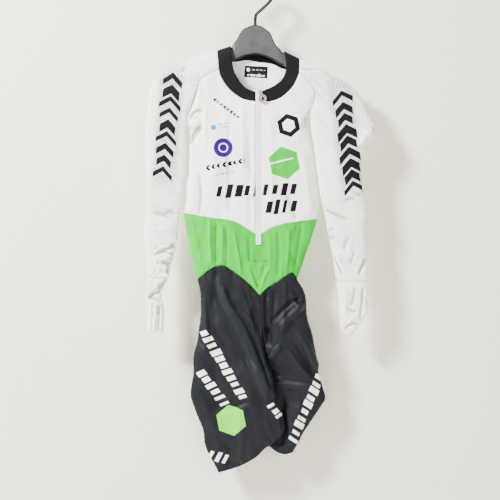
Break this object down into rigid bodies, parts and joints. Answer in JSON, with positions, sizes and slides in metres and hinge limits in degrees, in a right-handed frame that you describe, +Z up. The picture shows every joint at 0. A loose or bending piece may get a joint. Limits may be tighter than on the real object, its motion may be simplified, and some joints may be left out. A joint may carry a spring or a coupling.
{
  "type": "cycling skinsuit on a hanger",
  "caption": "Long-sleeved one-piece cycling suit with a front zip and short legs, hung flat on a plastic hanger.",
  "frame": {"origin": "highest point of the inside of the hanger's hook, where it rests on a rail", "axes": "+Z up, -Y out of the suit's front, +X to the wearer's left"},
  "size_m": [0.5289, 0.0585, 1.1299],
  "materials": {
    "white_cloth": "matte stretch knit",
    "sleeve_cloth": "matte stretch knit with a fine rib",
    "cuff_cloth": "matte stretch knit",
    "green_cloth": "smooth stretch knit with a soft sheen",
    "shorts_cloth": "smooth stretch knit with a soft sheen",
    "collar_cloth": "matte stretch knit",
    "zip_tape": "woven tape",
    "slider_metal": "satin",
    "pull_plastic": "matte",
    "label_print": "printed patch",
    "hanger_plastic": "satin",
    "hook_metal": "gloss black"
  },
  "bodies": {
    "suit": {"collar": "collar_cloth", "front_right": "white_cloth", "front_left": "white_cloth", "back": "white_cloth", "sleeve_right": "sleeve_cloth", "sleeve_left": "sleeve_cloth", "cuff_right": "cuff_cloth", "cuff_left": "cuff_cloth", "waist_front": "green_cloth", "waist_back": "green_cloth", "shorts_front_right": "shorts_cloth", "shorts_front_left": "shorts_cloth", "shorts_back_right": "shorts_cloth", "shorts_back_left": "shorts_cloth", "zip": "zip_tape", "zip_slider": "slider_metal", "neck_label": "label_print", "hanger_body": "hanger_plastic", "hanger_hook": "hook_metal"},
    "pull": {"zip_pull": "pull_plastic"}
  },
  "joints": [
    {"name": "pull_swing", "type": "hinge", "parent": "suit", "child": "pull", "pos_m": [0.009, -0.0236, -0.253], "axis": [-0.9511, 0, -0.309], "range_deg": [0, 150]}
  ]
}
